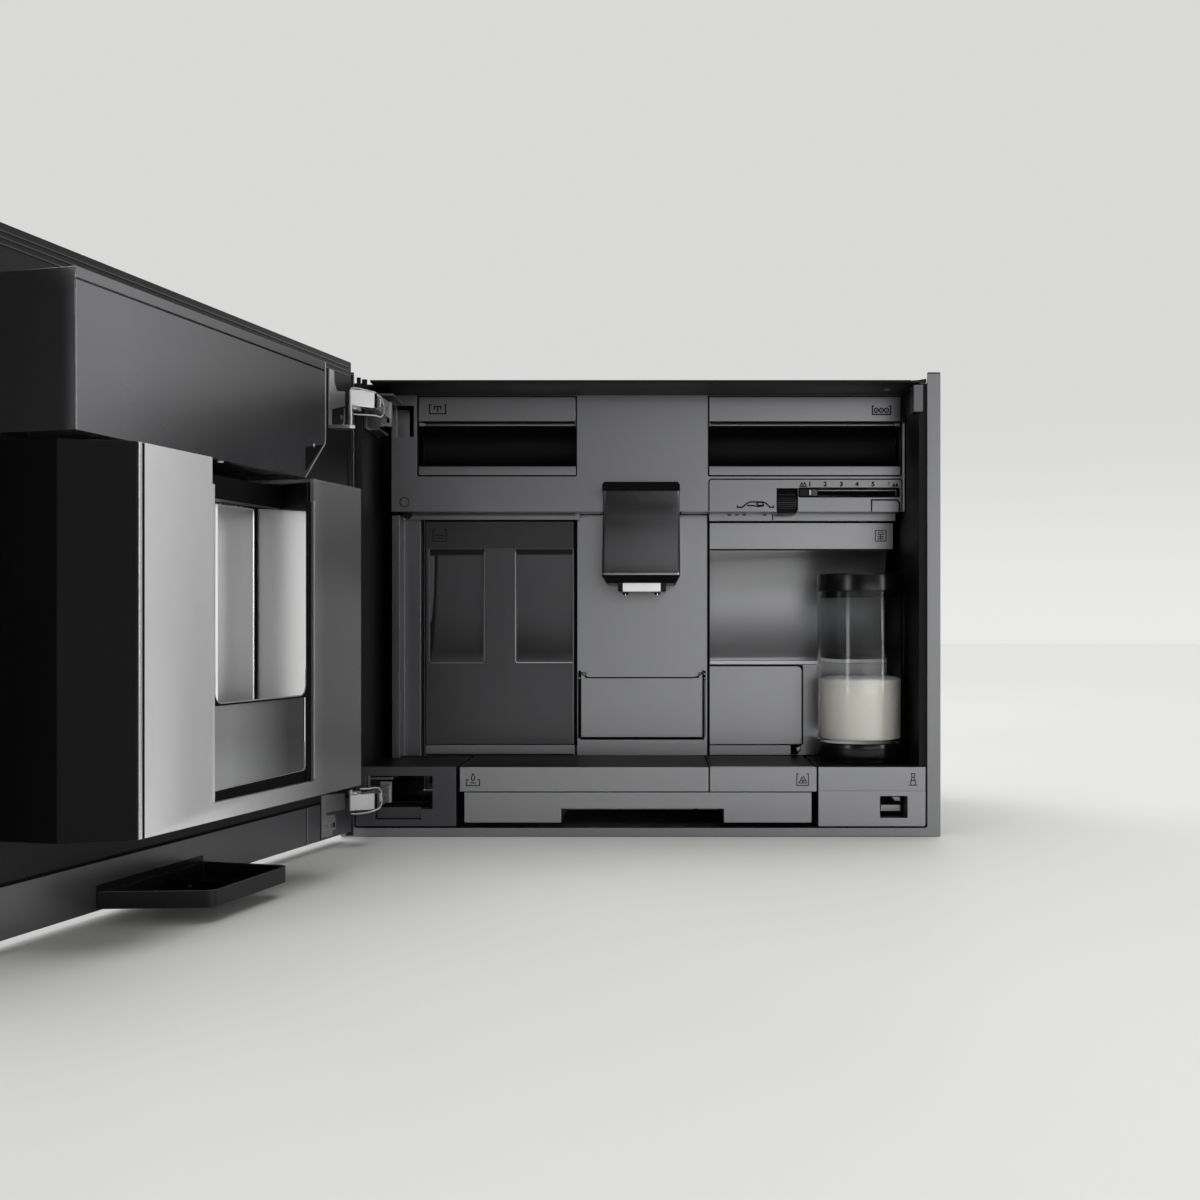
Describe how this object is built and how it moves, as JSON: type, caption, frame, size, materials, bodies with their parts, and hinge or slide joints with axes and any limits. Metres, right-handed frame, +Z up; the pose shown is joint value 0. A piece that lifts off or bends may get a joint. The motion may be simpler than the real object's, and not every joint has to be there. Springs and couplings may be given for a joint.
{
  "type": "built-in coffee machine",
  "caption": "Built-in coffee machine with a side-hinged door that carries the cup niche, a water tank, pull-out containers, a height-adjustable outlet and a milk container.",
  "frame": {"origin": "middle of the underside of the body, half way between its front flange and its back", "axes": "+Z up, +X to the right as seen from the front, +Y towards the back of the machine"},
  "size_m": [0.7449, 0.9604, 0.464],
  "materials": {
    "frame_grey": "satin grey sheet",
    "shell_black": "semi-matt black sheet steel",
    "zinc": "galvanised sheet",
    "moulding_grey": "fine-grained grey moulding with a metallic tone",
    "moulding_dark": "fine-grained dark grey moulding",
    "moulding_black": "satin black moulding",
    "tank_grey": "smoky grey see-through plastic, nearly opaque",
    "clear_plastic": "clear",
    "door_glass": "black printed glass, opaque from the front",
    "gloss_black": "polished black",
    "inner_cover": "satin grey moulding with a metallic finish",
    "cast_aluminium": "as cast",
    "steel": "brushed stainless",
    "chrome": "bright plated",
    "housing_grey": "satin grey metallic paint",
    "lower_panel": "dark see-through panel, nearly opaque",
    "inner_black": "plain black moulding",
    "board_green": "printed circuit board",
    "hose_white": "milky silicone"
  },
  "bodies": {
    "chassis": {"front_frame": "frame_grey", "left_side_panel": "shell_black", "right_side_panel": "shell_black", "top_panel": "shell_black", "base_plate": "zinc", "rear_panel": "zinc", "mains_inlet": "moulding_black", "upper_fascia": "moulding_grey", "column_cover": "moulding_grey", "outlet_rail": "zinc", "tank_bay_post": "moulding_grey", "tank_socket": "inner_black", "brew_bay_cover": "moulding_grey", "left_base_block": "moulding_dark", "right_base_block": "moulding_grey", "latch_striker": "moulding_grey", "hinge_mount_top": "chrome", "hinge_mount_bottom": "chrome", "grinder_housing": "inner_black", "brew_unit": "inner_black", "thermoblock": "cast_aluminium", "water_pump": "inner_black", "control_board": "board_green", "water_hose": "hose_white"},
    "door": {"door_glass": "door_glass", "door_panel": "inner_cover", "door_lower_flange": "inner_cover", "niche_trim": "steel", "niche_liner": "steel", "niche_ceiling": "moulding_black", "niche_lower_panel": "lower_panel", "niche_housing": "housing_grey", "niche_side_wall": "gloss_black", "display_housing": "housing_grey", "drip_spout": "moulding_black", "latch_hook": "chrome", "hinge_plate_top": "chrome", "hinge_plate_bottom": "chrome"},
    "drip_grid": {"drip_grid": "steel"},
    "hinge_arm_top": {"hinge_arm_top": "chrome"},
    "hinge_arm_bottom": {"hinge_arm_bottom": "chrome"},
    "ground_coffee_drawer": {"ground_coffee_drawer": "moulding_grey"},
    "bean_drawer": {"bean_drawer": "moulding_grey"},
    "bean_lid": {"bean_drawer_lid": "clear_plastic"},
    "grind_slider": {"grind_slider": "moulding_black"},
    "portion_roller": {"portion_roller": "gloss_black"},
    "outlet": {"outlet_housing": "moulding_black", "outlet_nozzle": "steel"},
    "column_flap": {"column_flap": "moulding_grey"},
    "water_tank": {"water_tank": "tank_grey"},
    "service_panel": {"service_panel": "moulding_grey"},
    "drip_tray": {"drip_tray": "moulding_grey"},
    "drip_cover": {"drip_cover": "moulding_dark"},
    "grounds_container": {"grounds_container": "moulding_grey"},
    "lower_drawer": {"lower_drawer": "moulding_grey"},
    "milk_container": {"milk_jar": "clear_plastic", "milk_jar_base": "moulding_black"},
    "milk_lid": {"milk_jar_lid": "moulding_black"},
    "grinder_burr": {"grinder_burr": "steel"},
    "brew_piston": {"brew_piston": "steel"}
  },
  "joints": [
    {"name": "door_hinge", "type": "hinge", "parent": "chassis", "child": "door", "pos_m": [-0.2992, -0.2086, 0], "axis": [0, 0, 1], "range_deg": [-5.5, 104.5]},
    {"name": "hinge_arm_top_slide", "type": "slide", "parent": "chassis", "child": "hinge_arm_top", "axis": [0.1309, 0.9914, 0], "range_m": [-0.006, 0.09]},
    {"name": "hinge_arm_bottom_slide", "type": "slide", "parent": "chassis", "child": "hinge_arm_bottom", "axis": [0.1309, 0.9914, 0], "range_m": [-0.006, 0.09]},
    {"name": "drip_grid_lift", "type": "slide", "parent": "door", "child": "drip_grid", "axis": [0, 0, 1], "range_m": [0, 0.03]},
    {"name": "ground_coffee_drawer_slide", "type": "slide", "parent": "chassis", "child": "ground_coffee_drawer", "axis": [0, 1, 0], "range_m": [-0.11, 0]},
    {"name": "bean_drawer_slide", "type": "slide", "parent": "chassis", "child": "bean_drawer", "axis": [0, 1, 0], "range_m": [-0.14, 0]},
    {"name": "grind_setting_slide", "type": "slide", "parent": "chassis", "child": "grind_slider", "axis": [1, 0, 0], "range_m": [0, 0.079]},
    {"name": "portion_roller_spin", "type": "hinge", "parent": "chassis", "child": "portion_roller", "pos_m": [0, -0.105, 0.3375], "axis": [1, 0, 0], "range_deg": [-150, 150]},
    {"name": "bean_lid_slide", "type": "slide", "parent": "bean_drawer", "child": "bean_lid", "axis": [0, 1, 0], "range_m": [0, 0.09]},
    {"name": "outlet_height_slide", "type": "slide", "parent": "chassis", "child": "outlet", "axis": [0, 0, 1], "range_m": [-0.05, 0]},
    {"name": "column_flap_hinge", "type": "hinge", "parent": "chassis", "child": "column_flap", "pos_m": [0, -0.071, 0.0908], "axis": [-1, 0, 0], "range_deg": [-35, 0]},
    {"name": "water_tank_slide", "type": "slide", "parent": "chassis", "child": "water_tank", "axis": [0, 1, 0], "range_m": [-0.15, 0]},
    {"name": "service_panel_slide", "type": "slide", "parent": "chassis", "child": "service_panel", "axis": [0, 1, 0], "range_m": [-0.06, 0]},
    {"name": "drip_tray_slide", "type": "slide", "parent": "chassis", "child": "drip_tray", "axis": [0, 1, 0], "range_m": [-0.2, 0]},
    {"name": "drip_cover_lift", "type": "slide", "parent": "drip_tray", "child": "drip_cover", "axis": [0, 0, -1], "range_m": [-0.02, 0]},
    {"name": "grounds_container_slide", "type": "slide", "parent": "chassis", "child": "grounds_container", "axis": [0, 1, 0], "range_m": [-0.2, 0]},
    {"name": "lower_drawer_slide", "type": "slide", "parent": "chassis", "child": "lower_drawer", "axis": [0, 1, 0], "range_m": [-0.15, 0]},
    {"name": "milk_container_slide", "type": "slide", "parent": "chassis", "child": "milk_container", "axis": [0, 1, 0], "range_m": [-0.14, 0]},
    {"name": "milk_lid_lift", "type": "slide", "parent": "milk_container", "child": "milk_lid", "axis": [0, 0, 1], "range_m": [0, 0.05]},
    {"name": "grinder_burr_spin", "type": "hinge", "parent": "chassis", "child": "grinder_burr", "pos_m": [0.17, -0.007, 0], "axis": [0, 0, 1], "continuous": true},
    {"name": "brew_piston_slide", "type": "slide", "parent": "chassis", "child": "brew_piston", "axis": [0, 0, 1], "range_m": [0, 0.03]}
  ],
  "couplings": [
    {"joint": "hinge_arm_top_slide", "follows": "door_hinge", "m_per_rad": 0.048569},
    {"joint": "hinge_arm_bottom_slide", "follows": "door_hinge", "m_per_rad": 0.048569}
  ]
}
